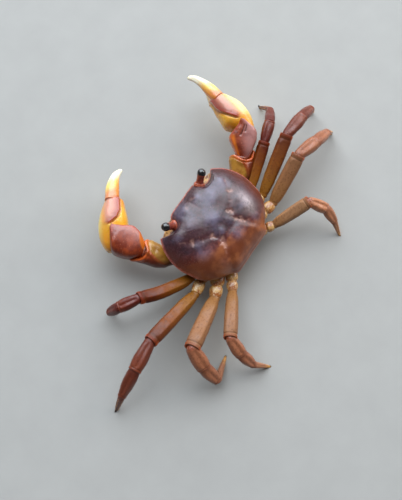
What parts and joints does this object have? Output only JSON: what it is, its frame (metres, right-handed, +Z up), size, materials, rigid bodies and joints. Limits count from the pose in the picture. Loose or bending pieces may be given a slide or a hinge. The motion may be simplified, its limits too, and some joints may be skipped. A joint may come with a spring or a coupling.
{
  "type": "freshwater crab",
  "caption": "Life-size still model of a freshwater crab standing on its eight walking legs with both pincers held forward.",
  "frame": {"origin": "middle of the bounding box in plan, on the floor under the feet", "axes": "+Z up, the face looks along -Y, the animal's left side is +X"},
  "size_m": [0.1, 0.0628, 0.0171],
  "materials": {
    "carapace_shell": "smooth glossy shell, dark plum in front, orange-brown behind",
    "belly_shell": "pale cream shell, satin",
    "mouth_shell": "pale brown shell with a fringe, satin",
    "eyestalk_shell": "dark red-brown, glossy",
    "cornea": "black, polished",
    "feeler": "reddish brown, satin",
    "coxa_shell": "pale yellowish shell with joint skin, satin",
    "leg_upper_shell": "orange-brown shell, semi-gloss",
    "leg_lower_shell": "red-brown shell, semi-gloss",
    "leg_tip_shell": "dark red-brown with a pale horn tip, semi-gloss",
    "pincer_arm_shell": "brick red over orange, glossy",
    "palm_shell": "yellow-orange with a pink-mauve upper face, glossy",
    "finger_shell": "pink base, pale yellow to a white tip, glossy"
  },
  "bodies": {
    "root": {"abdomen": "belly_shell", "antenna_left": "feeler", "antenna_right": "feeler", "carapace": "carapace_shell", "carpus_left_2": "leg_lower_shell", "carpus_left_3": "leg_lower_shell", "carpus_left_4": "leg_lower_shell", "carpus_left_5": "leg_lower_shell", "carpus_pincer_left": "pincer_arm_shell", "carpus_pincer_right": "pincer_arm_shell", "carpus_right_2": "leg_lower_shell", "carpus_right_3": "leg_lower_shell", "carpus_right_4": "leg_lower_shell", "carpus_right_5": "leg_lower_shell", "cornea_left": "cornea", "cornea_right": "cornea", "coxa_left_2": "coxa_shell", "coxa_left_3": "coxa_shell", "coxa_left_4": "coxa_shell", "coxa_left_5": "coxa_shell", "coxa_pincer_left": "coxa_shell", "coxa_pincer_right": "coxa_shell", "coxa_right_2": "coxa_shell", "coxa_right_3": "coxa_shell", "coxa_right_4": "coxa_shell", "coxa_right_5": "coxa_shell", "dactylus_left_2": "leg_tip_shell", "dactylus_left_3": "leg_tip_shell", "dactylus_left_4": "leg_tip_shell", "dactylus_left_5": "leg_tip_shell", "dactylus_right_2": "leg_tip_shell", "dactylus_right_3": "leg_tip_shell", "dactylus_right_4": "leg_tip_shell", "dactylus_right_5": "leg_tip_shell", "eyestalk_left": "eyestalk_shell", "eyestalk_right": "eyestalk_shell", "finger_left": "finger_shell", "finger_right": "finger_shell", "merus_left_2": "leg_upper_shell", "merus_left_3": "leg_upper_shell", "merus_left_4": "leg_upper_shell", "merus_left_5": "leg_upper_shell", "merus_pincer_left": "pincer_arm_shell", "merus_pincer_right": "pincer_arm_shell", "merus_right_2": "leg_upper_shell", "merus_right_3": "leg_upper_shell", "merus_right_4": "leg_upper_shell", "merus_right_5": "leg_upper_shell", "mouthparts": "mouth_shell", "palm_left": "palm_shell", "palm_right": "palm_shell", "propodus_left_2": "leg_lower_shell", "propodus_left_3": "leg_lower_shell", "propodus_left_4": "leg_lower_shell", "propodus_left_5": "leg_lower_shell", "propodus_right_2": "leg_lower_shell", "propodus_right_3": "leg_lower_shell", "propodus_right_4": "leg_lower_shell", "propodus_right_5": "leg_lower_shell", "thorax": "belly_shell"}
  },
  "joints": []
}
